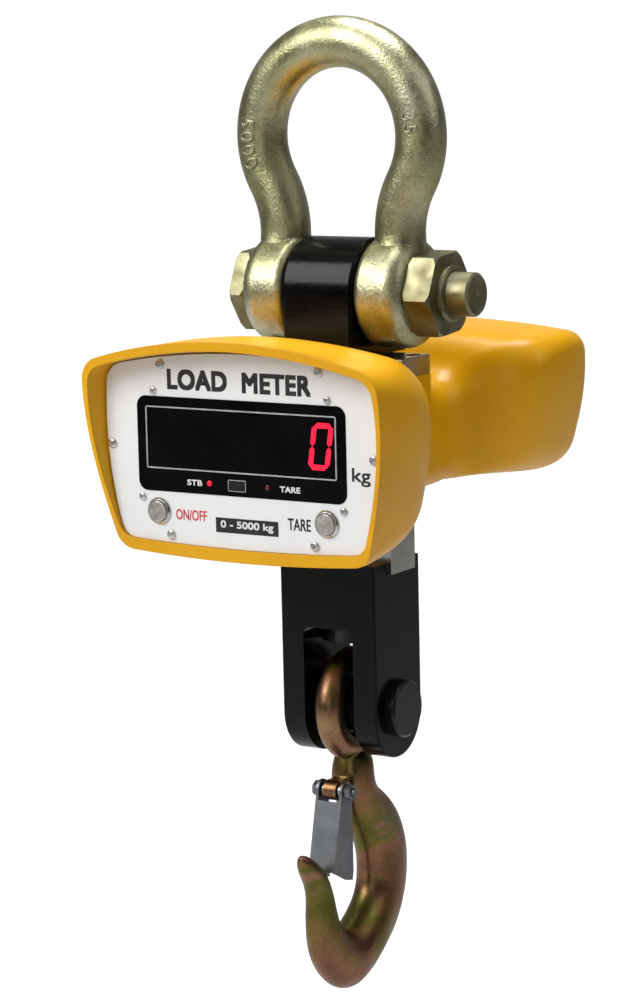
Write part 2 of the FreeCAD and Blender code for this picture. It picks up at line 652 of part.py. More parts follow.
def housing():
    casting = housing_outside().cut(housing_inside() + cell_openings())
    screws = panel_screws() + rear_cover_screws() + flange_screws() + strap_screws()
    return casting.fuse(battery_tray()).cut(screws)


def load_cell_seal():
    """Rubber plug in the casting's floor, with a lip that follows the casting's underside."""
    x = CELL_HALF + SEAL_W
    y = CELL_DEPTH + SEAL_W
    low = NECK_BOTTOM - SEAL_LIP
    plug = box(-x, x, -y, y, low, NECK_BOTTOM + NECK_WALL)
    reach = 3.0
    lip = rounded_box(-x - reach, x + reach, -y - reach, y + reach, low, NECK_BOTTOM + SEAL_LIP, 4.0, Z_AXIS)
    lip = lip.cut(loft([NECK_FRONT, NECK_BACK], True))
    hole = box(-CELL_HALF, CELL_HALF, -CELL_DEPTH, CELL_DEPTH, low - 5, NECK_BOTTOM + 20)
    return plug.fuse(lip).cut(hole)


# ---------------------------------------------------------------- panel and display
def panel_screws():
    blank = screw(3.3, 2.0, 1.5, 12.0, 2.0)
    return [pointed(blank, vec(x, PANEL_FRONT, z), FRONT) for x, z in both_sides(PANEL_SCREWS)]


def board_screws():
    blank = screw(2.7, 1.7, 1.25, 7.0, 1.5)
    return [pointed(blank, vec(x, PANEL_FRONT, z), FRONT) for x, z in both_sides(BOARD_SCREWS)]


def window_blank(front, thickness, grow=0.0):
    half = WINDOW_HALF + grow
    return rounded_box(-half, half, front, front + thickness, WINDOW_BOTTOM - grow, WINDOW_TOP + grow,
                       WINDOW_ROUND, Y_AXIS)


def sleeve_holes():
    return [rod(SLEEVE_R, vec(x, PANEL_FRONT - 5, BUTTON_Z), vec(x, PANEL_FRONT + 20, BUTTON_Z))
            for x in (-BUTTON_X, BUTTON_X)]


def front_panel():
    sheet = plate(PANEL_FRONT, PANEL_T, PANEL)
    return sheet.cut([window_blank(PANEL_FRONT - 1, 10)] + sleeve_holes() + panel_screws() + board_screws())


def panel_gasket():
    ring = plate(PANEL_FRONT + PANEL_T, PANEL_GASKET_T, PANEL)
    hole = plate(PANEL_FRONT, 10, PANEL_GASKET_HOLE)
    return ring.cut([hole] + panel_screws())


def display_window():
    sheet = window_blank(PANEL_FRONT - WINDOW_PROUD, WINDOW_T)
    return sheet.cut([receiver_blank()] + lamps())


def window_frame():
    front = PANEL_FRONT - WINDOW_PROUD - FRAME_PROUD
    outer = rounded_box(-FRAME_HALF, FRAME_HALF, front, front + FRAME_PROUD,
                        FRAME_BOTTOM, FRAME_TOP, 1.5, Y_AXIS)
    inner = box(-FRAME_HALF + FRAME_W, FRAME_HALF - FRAME_W, front - 1, front + 5,
                FRAME_BOTTOM + FRAME_W, FRAME_TOP - FRAME_W)
    return outer.cut(inner)


def lamps():
    back = PANEL_FRONT + 4
    front = PANEL_FRONT - WINDOW_PROUD - 0.4
    return [rod(LAMP_R, vec(x, front, LAMPS_Z), vec(x, back, LAMPS_Z)) for x in LAMP_X]


def receiver_blank():
    wide, high = RECEIVER
    front = PANEL_FRONT - WINDOW_PROUD - 0.2
    return box(RECEIVER_X - wide / 2, RECEIVER_X + wide / 2, front, PANEL_FRONT + 5,
               LAMPS_Z - high / 2, LAMPS_Z + high / 2)


def digit_centres():
    return [(index - (DIGIT_COUNT - 1) / 2) * DIGIT_PITCH for index in range(DIGIT_COUNT)]


def digit_modules():
    wide, high, deep = DIGIT_BODY
    front = PANEL_FRONT - WINDOW_PROUD + WINDOW_T + 0.2 + SEGMENT_T
    low = DIGIT_MID_Z - high / 2
    return [box(x - wide / 2, x + wide / 2, front, front + deep, low, low + high)
            for x in digit_centres()]


def segment(x, z, along_x, length):
    """One six-sided light bar, lying or standing, leaned with the digit."""
    front = PANEL_FRONT - WINDOW_PROUD + WINDOW_T + 0.2
    half = length / 2
    wide = SEGMENT_W / 2
    shape = [(-half, 0), (-half + wide, wide), (half - wide, wide),
             (half, 0), (half - wide, -wide), (-half + wide, -wide)]
    points = []
    for along, across in shape + shape[:1]:
        dx, dz = (along, across) if along_x else (across, along)
        slant = math.tan(math.radians(DIGIT_SLANT)) * (z + dz)
        points.append(vec(x + dx + slant, front, DIGIT_MID_Z + z + dz))
    return Part.Face(Part.makePolygon(points)).extrude(vec(0, SEGMENT_T, 0))


def digit_segments():
    bars = []
    side = (DIGIT_WIDE - SEGMENT_W) / 2
    rise = (DIGIT_HIGH - SEGMENT_W) / 2
    gap = 0.5
    for x in digit_centres():
        for z in (rise, 0, -rise):
            bars.append(segment(x, z, True, 2 * side - gap))
        for dx in (side, -side):
            for z in (rise / 2, -rise / 2):
                bars.append(segment(x + dx, z, False, rise - gap))
    return bars


def board(y, half, top, bottom):
    return box(-half, half, y, y + BOARD_T, bottom, top)


def board_posts():
    """Posts between the panel and the display board, threaded for the screws."""
    start = PANEL_FRONT + PANEL_T
    posts = []
    for x, z in both_sides(BOARD_SCREWS):
        post = rod(3.0, vec(x, start, z), vec(x, DISPLAY_BOARD_Y, z))
        posts.append(post.cut(board_screws()))
    return posts


def display_board():
    half, top, bottom = BOARD
    wide = max(x for x, z in BOARD_SCREWS) + 4
    tall_top = max(z for x, z in BOARD_SCREWS) + 4
    tall_bottom = min(z for x, z in BOARD_SCREWS) - 4
    sheet = board(DISPLAY_BOARD_Y, max(half, wide), max(top, tall_top), min(bottom, tall_bottom))
    holes = [rod(10.0, vec(x, -200, BUTTON_Z), vec(x, 0, BUTTON_Z)) for x in (-BUTTON_X, BUTTON_X)]
    return sheet.cut(holes)


def main_board():
    half, top, bottom = MAIN_BOARD
    return board(MAIN_BOARD_Y, half, top, bottom)


def main_board_posts():
    half, top, bottom = MAIN_BOARD
    spots = [(x, z) for x in (half - 5, -half + 5) for z in (top - 4, DIGIT_MID_Z - 38)]
    return [rod(3.0, vec(x, DISPLAY_BOARD_Y + BOARD_T, z), vec(x, MAIN_BOARD_Y, z)) for x, z in spots]


def board_parts():
    """Terminal blocks and chips on the main board."""
    back = MAIN_BOARD_Y + BOARD_T
    terminal = box(-12, 12, back, back + 10, -92, -84)
    chip = box(-34, -20, back, back + 2, -116, -102)
    regulator = box(24, 34, back, back + 5, -132, -118)
    return [terminal, chip, regulator]


# ---------------------------------------------------------------- push buttons
def button_cap(x):
    front = PANEL_FRONT - BUTTON_PROUD
    cap = rod(BUTTON_R, vec(x, front, BUTTON_Z), vec(x, front + 8.0, BUTTON_Z))
    return bevel_ends(cap, 0.6, Y_AXIS)


def button_bezels():
    bezels = []
    for x in (-BUTTON_X, BUTTON_X):
        lip = rod(BEZEL_R, vec(x, PANEL_FRONT - 2.0, BUTTON_Z), vec(x, PANEL_FRONT, BUTTON_Z))
        front = [edge for edge in lip.Edges if edge.CenterOfMass.y < PANEL_FRONT - 1.9]
        lip = lip.makeChamfer(1.2, front)
        sleeve = rod(SLEEVE_R, vec(x, PANEL_FRONT, BUTTON_Z), vec(x, PANEL_FRONT + 12, BUTTON_Z))
        hole = rod(BUTTON_HOLE_R, vec(x, PANEL_FRONT - 5, BUTTON_Z), vec(x, PANEL_FRONT + 15, BUTTON_Z))
        bezels.append(lip.fuse(sleeve).cut(hole))
    return bezels


def button_nuts():
    nuts = []
    for x in (-BUTTON_X, BUTTON_X):
        start = vec(x, PANEL_FRONT + PANEL_T, BUTTON_Z)
        nut = pointed(hexagon(19.0, 2.5), start, Y_AXIS)
        nuts.append(nut.cut(rod(SLEEVE_R, start, start.add(vec(0, 5, 0)))))
    return nuts


def button_switches():
    switches = []
    for x in (-BUTTON_X, BUTTON_X):
        front = PANEL_FRONT + 7.5
        body = rod(BUTTON_HOLE_R, vec(x, front, BUTTON_Z), vec(x, front + 8, BUTTON_Z))
        pins = [box(x + dx - 0.4, x + dx + 0.4, front + 8, front + 12, BUTTON_Z - 1.2, BUTTON_Z + 1.2)
                for dx in (-3.0, 3.0)]
        switches.append(body.fuse(pins))
    return switches


# ---------------------------------------------------------------- battery and rear cover
def battery():
    half, y0, y1, low, high = BATTERY
    case = rounded_box(-half, half, y0, y1, low, high, 2.0, Z_AXIS)
    tabs = [box(x - 2.4, x + 2.4, y0 + 8, y0 + 8.8, high, high + 6) for x in (-40.0, -18.0)]
    return case.fuse(tabs)


def strap_screws():
    half, y0, y1, low, high = BATTERY
    middle = (y0 + y1) / 2
    blank = screw(3.5, 2.2, 2.0, 8.0, 2.5)
    return [pointed(blank, vec(side * (half + 9.0), middle, low + 1.5), Z_AXIS) for side in (1, -1)]


def battery_strap():
    half, y0, y1, low, high = BATTERY
    middle = (y0 + y1) / 2
    sheet = 1.5
    wide = 9.0
    outer = box(-half - sheet, half + sheet, middle - wide, middle + wide, low, high + sheet)
    inner = box(-half, half, middle - 50, middle + 50, low - 5, high)
    feet = []
    for side in (1, -1):
        x0, x1 = sorted((side * (half + sheet), side * (half + 15)))
        feet.append(box(x0, x1, middle - wide, middle + wide, low, low + sheet))
    return outer.cut(inner).fuse(feet).cut(strap_screws())


def battery_lead():
    """Two-core lead from the battery forward past the load cell to the main board."""
    x = CELL_HALF + 3.1
    z = -96.0
    start = vec(x, BATTERY[1], z)
    end = vec(x, MAIN_BOARD_Y + BOARD_T, z)
    return rod(1.9, end, start)


def socket_hole():
    start = vec(SOCKET_X, REAR_FACE - 20, SOCKET_Z)
    return rod(SOCKET_R - SOCKET_WALL, start, vec(SOCKET_X, REAR_FACE + 5, SOCKET_Z))


def rear_cover_screws():
    blank = screw(3.6, 2.2, 2.0, 9.0, 2.5)
    return [pointed(blank, vec(x, REAR_FACE, z), Y_AXIS) for x, z in COVER_SCREWS]


def rear_cover():
    lid = plate(REAR_FACE - COVER_T, COVER_T, drawn_in(COVER, 0.4))
    return lid.cut(rear_cover_screws() + [socket_hole()])


def drawn_in(shape, gap):
    """The same outline, drawn in by a small gap all round."""
    top, top_corner, bottom_corner, bottom, bulge, top_round, bottom_round = shape
    return (top - gap, (top_corner[0] - gap, top_corner[1] - gap),
            (bottom_corner[0] - gap, bottom_corner[1] + gap), bottom + gap, bulge, top_round, bottom_round)


def rear_gasket():
    ring = plate(REAR_FACE - COVER_T - REAR_GASKET_T, REAR_GASKET_T, drawn_in(COVER, 0.4))
    hole = plate(REAR_FACE - 30, 60, REAR_HOLE)
    return ring.cut([hole] + rear_cover_screws())


def charge_socket():
    """Round panel socket: threaded collar outside, body inside, three contacts."""
    at = REAR_FACE
    flange = rod(10.0, vec(SOCKET_X, at, SOCKET_Z), vec(SOCKET_X, at + 1.5, SOCKET_Z))
    collar = rod(SOCKET_R, vec(SOCKET_X, at, SOCKET_Z), vec(SOCKET_X, at + 1.5 + SOCKET_PROUD, SOCKET_Z))
    body = rod(SOCKET_R - SOCKET_WALL, vec(SOCKET_X, at - 14, SOCKET_Z), vec(SOCKET_X, at + 1, SOCKET_Z))
    cup = rod(SOCKET_R - 1.6, vec(SOCKET_X, at + 2.5, SOCKET_Z), vec(SOCKET_X, at + 20, SOCKET_Z))
    shell = flange.fuse([collar, body]).cut(cup)
    contacts = []
    for step in range(3):
        angle = math.radians(90 + 120 * step)
        x = SOCKET_X + 3.0 * math.cos(angle)
        z = SOCKET_Z + 3.0 * math.sin(angle)
        contacts.append(rod(0.8, vec(x, at + 2, z), vec(x, at + 8.5, z)))
    return shell.fuse(contacts)


def socket_nut():
    start = vec(SOCKET_X, REAR_FACE - COVER_T - 2.5, SOCKET_Z)
    nut = pointed(hexagon(17.0, 2.5), start, Y_AXIS)
    return nut.cut(socket_hole())


# ---------------------------------------------------------------- build and write
def main():
    os.makedirs("parts", exist_ok=True)
    save("shackle_bow", shackle_bow())
    save("shackle_bolt", shackle_bolt())
    save("shackle_nut", shackle_nut())
    save("suspension_lug", suspension_lug())
    save("lug_stud", lug_stud())
    save("load_cell", load_cell())
    save("load_cell_screws", *flange_screws())
    save("strain_gauges", *strain_gauges())
    save("gauge_covers", *[cover.cut(load_cell_lead()) for cover in gauge_covers()])
    save("lead_gland", lead_gland())
    save("load_cell_lead", load_cell_lead())
    save("load_cell_seal", load_cell_seal())
    save("clevis", clevis())
    save("clevis_bolt", clevis_bolt())
    save("hook_pin", hook_pin())
    save("pin_keeper", pin_keeper())
    save("keeper_screws", *keeper_screws())
    save("hook", hook())
    save("latch", latch())
    save("latch_bolt", latch_bolt())
    save("latch_nut", latch_nut())
    save("latch_spring", *latch_spring())
    save("housing", housing())
    save("front_panel", front_panel())
    save("panel_gasket", panel_gasket())
    save("panel_screws", *panel_screws())
    save("board_screws", *board_screws())
    save("board_posts", *board_posts())
    save("display_window", display_window())
    save("window_frame", window_frame())
    save("digit_modules", *digit_modules())
    save("digit_segments", *digit_segments())
    save("status_lamps", *lamps())
    save("remote_receiver", receiver_blank())
    save("display_board", display_board())
    save("main_board", main_board())
    save("main_board_posts", *main_board_posts())
    save("board_parts", *board_parts())
    save("on_off_button", button_cap(-BUTTON_X))
    save("tare_button", button_cap(BUTTON_X))
    save("button_bezels", *button_bezels())
    save("button_nuts", *button_nuts())
    save("button_switches", *button_switches())
    save("battery", battery())
    save("battery_strap", battery_strap())
    save("strap_screws", *strap_screws())
    save("battery_lead", battery_lead())
    save("rear_cover", rear_cover())
    save("rear_gasket", rear_gasket())
    save("rear_cover_screws", *rear_cover_screws())
    save("charge_socket", charge_socket())
    save("socket_nut", socket_nut())
    print("%d nodes" % len(NODES))


main()
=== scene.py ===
import json
import math

import bmesh
import bpy
from mathutils import Matrix, Vector


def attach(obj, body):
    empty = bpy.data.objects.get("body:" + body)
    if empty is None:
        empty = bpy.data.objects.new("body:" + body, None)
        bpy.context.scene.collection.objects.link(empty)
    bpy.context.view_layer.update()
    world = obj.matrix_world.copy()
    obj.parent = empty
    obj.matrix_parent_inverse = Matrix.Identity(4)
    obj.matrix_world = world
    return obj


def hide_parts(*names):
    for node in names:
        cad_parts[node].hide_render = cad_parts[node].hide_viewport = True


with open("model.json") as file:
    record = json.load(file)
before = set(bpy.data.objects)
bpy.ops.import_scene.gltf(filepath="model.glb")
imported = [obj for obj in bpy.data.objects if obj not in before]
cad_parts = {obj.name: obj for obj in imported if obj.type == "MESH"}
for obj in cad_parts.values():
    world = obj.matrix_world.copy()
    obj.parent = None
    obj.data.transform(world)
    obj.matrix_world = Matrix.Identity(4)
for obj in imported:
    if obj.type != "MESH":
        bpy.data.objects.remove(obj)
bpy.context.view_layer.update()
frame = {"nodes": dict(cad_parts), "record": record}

# Places on the scale are in mm from the shackle bolt's axis, as in the part's source, and spot()
# turns them into metres in the part's frame. Materials, lights and the camera are in metres.
HANG_RISE = 152.0            # shackle bolt axis up to the inside of the crown

# the shackle's bow and bolt
BOW_R = 17.5                 # bar radius
BOW_BEND = 63.5              # bend radius of the bar's centreline round the crown
NECK_BEND = 70.0             # reverse bend radius towards the eyes
LIMB_HALF = 46.0             # half the distance between the limbs where they meet the eyes
BOW_CENTRE_Z = HANG_RISE + BOW_R - BOW_BEND
MARK_TURN = 0.1              # how far the numerals sit round the bar from its front, radians
MARK_HEIGHT = 1.3            # how far they reach out from a base just inside the bar
MARK_SUNK = 0.3              # and how deep in the bar that base lies
THREAD_R = 18.55
THREAD_SPAN = (84.5, 87.3)    # along the bolt

# the display head
PANEL_FRONT = -134.5
WINDOW_FRONT = PANEL_FRONT - 0.3
INK = 0.06                   # thickness of printed ink
LAMP_X = (-24.6, 21.0)
LAMP_Z = -116.8
LAMP_R = 1.9
LAMP_RISE = 0.7
LAMP_SEAT = 0.4
DIGIT = (62.6, -87.4)        # centre of the last digit, x and z
DIGIT_SIZE = (16.4, 31.2)
DIGIT_BAR = 3.7
DIGIT_SLANT = 8.0            # degrees
DIGIT_GAP = 0.35
RECEIVER = (-10.0, 4.0, -121.2, -113.4)    # x and z limits of the line round the receiver
RECEIVER_LINE = 0.5

# the latch spring
LATCH_PIVOT = (-27.4, -347.5)    # y and z
SPRING_WIRE = 0.6
SPRING_R = 4.15
SPRING_SPAN = (5.65, 7.45)       # each coil's ends, out from the middle of the hook
SPRING_TURNS = 2.2

# the view and the studio, metres and degrees
CAMERA_TURN = 32.03
CAMERA_RISE = 9.13
CAMERA_ROLL = -1.30
CAMERA_AWAY = 2.170
CAMERA_AIM_Z = -145.9            # mm, as a place on the scale
CAMERA_SHIFT = -0.020
WORLD_LIGHT = 0.27               # how strongly the surroundings light the scale
WHITE_SEEN = 0.95                # how bright they look to the camera
SHEET_GLOW = 0.62                # how bright the sheet looks to the camera
FLOOR_Z = -1.0
SWEEP_START = 2.6
SWEEP_R = 1.4


def spot(x, y, z):
    return Vector((x, y, z - HANG_RISE)) / 1000


# ---------------------------------------------------------------- materials
class Finish:
    """A procedural material, built up one effect at a time."""

    def __init__(self, name, rough, metallic=0.0, **sockets):
        self.material = bpy.data.materials.new(name)
        self.material.use_nodes = True
        self.tree = self.material.node_tree
        self.shader = self.tree.nodes["Principled BSDF"]
        self.shader.inputs["Roughness"].default_value = rough
        self.shader.inputs["Metallic"].default_value = metallic
        for socket, value in sockets.items():
            self.shader.inputs[socket.replace("_", " ")].default_value = value
        self.place = self.tree.nodes.new("ShaderNodeTexCoord").outputs["Object"]

    def node(self, kind, **values):
        made = self.tree.nodes.new("ShaderNode" + kind)
        for key, value in values.items():
            if key in made.inputs:
                made.inputs[key].default_value = value
            else:
                setattr(made, key, value)
        return made

    def link(self, source, target):
        self.tree.links.new(source, target)

    def noise(self, scale, detail=4.0, stretch=(1, 1, 1), warp=0.0):
        mapping = self.node("Mapping")
        mapping.inputs["Scale"].default_value = stretch
        self.link(self.place, mapping.inputs["Vector"])
        made = self.node("TexNoise", Scale=scale, Detail=detail, Distortion=warp)
        self.link(mapping.outputs[0], made.inputs["Vector"])
        return made.outputs["Fac"]

    def ramp(self, factor, stops):
        made = self.node("ValToRGB")
        bar = made.color_ramp
        while len(bar.elements) < len(stops):
            bar.elements.new(0.5)
        for element, (place, colour) in zip(bar.elements, stops):
            element.position = place
            element.color = (*colour, 1.0)
        self.link(factor, made.inputs["Fac"])
        return made.outputs["Color"]

    def blend(self, factor, first, second, kind="MIX"):
        made = self.node("Mix", data_type="RGBA", blend_type=kind)
        self.link(factor, made.inputs[0])
        self.link(first, made.inputs[6])
        self.link(second, made.inputs[7])
        return made.outputs[2]

    def span(self, factor, low, high, start=0.3, end=0.7):
        made = self.node("MapRange")
        made.inputs["From Min"].default_value = start
        made.inputs["From Max"].default_value = end
        made.inputs["To Min"].default_value = low
        made.inputs["To Max"].default_value = high
        self.link(factor, made.inputs["Value"])
        return made.outputs["Result"]

    def colour(self, source):
        self.link(source, self.shader.inputs["Base Color"])

    def rough(self, scale, low, high, stretch=(1, 1, 1)):
        self.link(self.span(self.noise(scale, 5.0, stretch), low, high), self.shader.inputs["Roughness"])

    def edges(self, radius):
        """How near a point is to a sharp edge, and normals rounded over that radius."""
        bevel = self.node("Bevel", Radius=radius, samples=4)
        plain = self.node("NewGeometry")
        dot = self.node("VectorMath", operation="DOT_PRODUCT")
        self.link(bevel.outputs[0], dot.inputs[0])
        self.link(plain.outputs["Normal"], dot.inputs[1])
        return self.span(dot.outputs["Value"], 1.0, 0.0, 0.80, 0.995), bevel.outputs[0]

    def bumps(self, layers, normal=None):
        """Layers of (height source, strength, depth in metres)."""
        for height, strength, depth in layers:
            made = self.node("Bump", Strength=strength, Distance=depth)
            self.link(height, made.inputs["Height"])
            if normal is not None:
                self.link(normal, made.inputs["Normal"])
            normal = made.outputs["Normal"]
        self.link(normal, self.shader.inputs["Normal"])


def painted(name, dark, mid, light, rough, orange_peel, worn, coat=0.0, edge=0.0006, shine=0.5):
    """Powder coat or paint: faint shade variation, orange peel and lightly rubbed edges."""
    look = Finish(name, rough, Coat_Weight=coat, Coat_Roughness=0.12, Specular_IOR_Level=shine)
    base = look.ramp(look.noise(9.0, 5.0), [(0.3, dark), (0.5, mid), (0.72, light)])
    near_edge, rounded = look.edges(edge)
    patchy = look.node("Math", operation="MULTIPLY")
    look.link(near_edge, patchy.inputs[0])
    look.link(look.span(look.noise(160.0, 6.0), 0.0, 0.8, 0.45, 0.65), patchy.inputs[1])
    rubbed = look.ramp(look.noise(300.0), [(0.3, worn), (0.7, light)])
    look.colour(look.blend(patchy.outputs[0], base, rubbed))
    look.rough(35.0, rough * 0.85, rough * 1.25)
    look.bumps([(look.noise(420.0, 2.0), orange_peel, 0.0003),
             (look.noise(2200.0, 2.0), orange_peel * 0.5, 0.0001)], rounded)
    return look.material


def metal(name, dark, mid, light, rough, grain=(1, 1, 1), scale=60.0, bump=0.12, spots=400.0):
    """Plated or turned steel: tint variation, grain along one way and brighter rubbed edges."""
    look = Finish(name, rough, 1.0)
    base = look.ramp(look.noise(scale, 6.0, grain, 0.6), [(0.28, dark), (0.5, mid), (0.74, light)])
    near_edge, rounded = look.edges(0.0003)
    look.colour(look.blend(near_edge, base, look.ramp(look.noise(500.0), [(0.3, mid), (0.6, light)])))
    look.rough(scale * 2.0, rough * 0.7, rough * 1.4, grain)
    look.bumps([(look.noise(spots, 5.0, grain), bump, 0.0004)], rounded)
    return look.material


def moulded(name, dark, light, rough):
    """Plastic or rubber with a fine texture."""
    look = Finish(name, rough)
    look.colour(look.ramp(look.noise(90.0, 4.0), [(0.3, dark), (0.7, light)]))
    look.rough(60.0, rough * 0.8, rough * 1.2)
    look.bumps([(look.noise(300.0, 3.0), 0.15, 0.0003)], look.edges(0.0003)[1])
    return look.material


def galvanised():
    """Hot-dip galvanised forging with a greenish gold tint, silvery runs and fine pits."""
    look = Finish("galvanised", 0.42, 1.0)
    base = look.ramp(look.noise(19.0, 4.0, warp=0.3), [
        (0.28, (0.31, 0.305, 0.15)), (0.45, (0.40, 0.39, 0.22)),
        (0.58, (0.50, 0.495, 0.33)), (0.76, (0.70, 0.70, 0.57))])
    fine = look.ramp(look.noise(520.0, 5.0), [(0.38, (0.70, 0.69, 0.62)), (0.6, (1.0, 1.0, 1.0))])
    speckled = look.blend(look.span(look.noise(60.0), 0.3, 0.9), base, fine, "MULTIPLY")
    near_edge, rounded = look.edges(0.0009)
    rubbed = look.ramp(look.noise(300.0), [(0.3, (0.6, 0.58, 0.5)), (0.7, (0.8, 0.79, 0.74))])
    look.colour(look.blend(near_edge, speckled, rubbed))
    look.rough(90.0, 0.28, 0.48)
    look.bumps([(look.noise(38.0, 3.0), 0.20, 0.0018), (look.noise(520.0, 4.0), 0.42, 0.0008),
             (look.noise(1500.0, 3.0), 0.25, 0.0002)], rounded)
    return look.material


def yellow_chromate():
    """Yellow chromate over zinc: gold, pink and olive bands that shift along the forging."""
    look = Finish("yellow_chromate", 0.34, 1.0)
    bands = look.ramp(look.noise(11.0, 3.0, (1, 1, 1.7), 0.4), [
        (0.30, (0.13, 0.085, 0.025)), (0.40, (0.26, 0.120, 0.075)), (0.47, (0.22, 0.140, 0.050)),
        (0.53, (0.13, 0.130, 0.028)), (0.58, (0.28, 0.140, 0.085)), (0.74, (0.38, 0.280, 0.120))])
    fine = look.ramp(look.noise(500.0, 6.0), [(0.36, (0.6, 0.58, 0.5)), (0.62, (1.0, 1.0, 1.0))])
    mottled = look.blend(look.span(look.noise(70.0), 0.2, 0.7), bands, fine, "MULTIPLY")
    near_edge, rounded = look.edges(0.0008)
    rubbed = look.ramp(look.noise(300.0), [(0.3, (0.5, 0.4, 0.2)), (0.7, (0.7, 0.6, 0.35))])
    look.colour(look.blend(near_edge, mottled, rubbed))
    look.rough(80.0, 0.24, 0.46)
    look.bumps([(look.noise(40.0, 3.0), 0.16, 0.0012), (look.noise(600.0, 5.0), 0.30, 0.0005)], rounded)
    return look.material


def display_glass():
    """Dark tinted acrylic, gloss, with a faint haze of dust and fine scratches."""
    look = Finish("dark_window", 0.08, Specular_IOR_Level=0.1)
    look.colour(look.ramp(look.noise(40.0), [(0.3, (0.0015, 0.0015, 0.002)), (0.7, (0.004, 0.0035, 0.0045))]))
    look.rough(120.0, 0.05, 0.16)
    look.bumps([(look.noise(900.0, 2.0, (1, 1, 8)), 0.03, 0.0001)], look.edges(0.0004)[1])
    return look.material


def glowing(name, colour, strength):
    """A lit lens, with a slightly uneven glow."""
    look = Finish(name, 0.3)
    tint = look.ramp(look.noise(260.0), [(0.3, [c * 0.75 for c in colour]), (0.7, colour)])
    look.colour(tint)
    look.link(tint, look.shader.inputs["Emission Color"])
    look.shader.inputs["Emission Strength"].default_value = strength
    look.bumps([(look.noise(1200.0, 2.0), 0.1, 0.0001)])
    return look.material


FINISHES = {
    "galvanised": galvanised(),
    "zinc_bolt": metal("zinc_bolt", (0.16, 0.145, 0.07), (0.24, 0.225, 0.13), (0.36, 0.35, 0.25), 0.44,
                       scale=34.0),
    "black_paint": painted("black_paint", (0.0015, 0.0015, 0.0015), (0.003, 0.003, 0.003),
                           (0.006, 0.006, 0.006), 0.17, 0.35, (0.03, 0.03, 0.03), 0.05, shine=0.14),
    "plain_steel": metal("plain_steel", (0.03, 0.03, 0.03), (0.05, 0.05, 0.05), (0.09, 0.09, 0.09), 0.45),
    "plated_steel": metal("plated_steel", (0.42, 0.41, 0.37), (0.50, 0.49, 0.45), (0.58, 0.57, 0.53), 0.22,
                          (1, 1, 6), 12.0, 0.03, spots=700.0),
    "dark_screws": metal("dark_screws", (0.03, 0.03, 0.03), (0.06, 0.06, 0.065), (0.14, 0.14, 0.15), 0.35),
    "gauge_foil": metal("gauge_foil", (0.5, 0.34, 0.14), (0.7, 0.5, 0.22), (0.8, 0.62, 0.32), 0.3,
                        (20, 1, 1)),
    "stainless": metal("stainless", (0.46, 0.46, 0.44), (0.62, 0.62, 0.60), (0.80, 0.80, 0.78), 0.26,
                       scale=150.0),
    "nickel_fitting": metal("nickel_fitting", (0.5, 0.49, 0.44), (0.66, 0.65, 0.60), (0.8, 0.79, 0.75), 0.16),
    "lead_sheath": moulded("lead_sheath", (0.03, 0.03, 0.033), (0.07, 0.07, 0.075), 0.6),
    "seal_rubber": moulded("seal_rubber", (0.012, 0.012, 0.012), (0.03, 0.03, 0.03), 0.7),
    "black_pin": painted("black_pin", (0.005, 0.005, 0.005), (0.008, 0.008, 0.008), (0.014, 0.014, 0.014),
                         0.26, 0.5, (0.06, 0.06, 0.06), 0.05, shine=0.25),
    "yellow_chromate": yellow_chromate(),
    "bright_zinc": metal("bright_zinc", (0.165, 0.176, 0.188), (0.19, 0.20, 0.21), (0.23, 0.24, 0.255), 0.46,
                         (1, 1, 1), 40.0, 0.02, spots=1100.0),
    "spring_steel": metal("spring_steel", (0.4, 0.4, 0.37), (0.55, 0.55, 0.52), (0.75, 0.75, 0.72), 0.28),
    "yellow_paint": painted("yellow_paint", (0.70, 0.325, 0.0), (0.78, 0.38, 0.0), (0.83, 0.42, 0.001),
                            0.33, 0.12, (0.70, 0.36, 0.01), 0.06, 0.0009, shine=0.28),
    "white_paint": painted("white_paint", (0.78, 0.785, 0.78), (0.82, 0.825, 0.82), (0.85, 0.855, 0.85),
                           0.38, 0.20, (0.6, 0.6, 0.58)),
    "dark_window": display_glass(),
    "frame_line": moulded("frame_line", (0.34, 0.34, 0.35), (0.50, 0.50, 0.51), 0.35),
    "digit_body": moulded("digit_body", (0.015, 0.015, 0.015), (0.03, 0.03, 0.03), 0.5),
    "segment_lens": moulded("segment_lens", (0.25, 0.01, 0.02), (0.40, 0.02, 0.04), 0.3),
    "lamp_lens": moulded("lamp_lens", (0.10, 0.008, 0.012), (0.20, 0.012, 0.02), 0.2),
    "receiver_lens": moulded("receiver_lens", (0.004, 0.003, 0.003), (0.009, 0.008, 0.008), 0.25),
    "circuit_board": moulded("circuit_board", (0.010, 0.10, 0.035), (0.03, 0.20, 0.08), 0.4),
    "chip_plastic": moulded("chip_plastic", (0.02, 0.02, 0.02), (0.045, 0.045, 0.045), 0.45),
    "bezel_steel": metal("bezel_steel", (0.46, 0.45, 0.42), (0.62, 0.61, 0.58), (0.82, 0.81, 0.78), 0.18,
                         scale=120.0),
    "button_steel": metal("button_steel", (0.40, 0.38, 0.33), (0.55, 0.53, 0.47), (0.70, 0.68, 0.62), 0.36,
                          scale=200.0, bump=0.25),
    "battery_case": moulded("battery_case", (0.045, 0.045, 0.05), (0.09, 0.09, 0.095), 0.5),
}
LIT = glowing("lit_segment", (0.95, 0.008, 0.045), 0.9)
INK_BLACK = moulded("ink_black", (0.006, 0.006, 0.006), (0.014, 0.014, 0.014), 0.5)
INK_RED = moulded("ink_red", (0.55, 0.02, 0.02), (0.70, 0.04, 0.035), 0.5)
INK_WHITE = moulded("ink_white", (0.74, 0.74, 0.74), (0.86, 0.86, 0.86), 0.5)

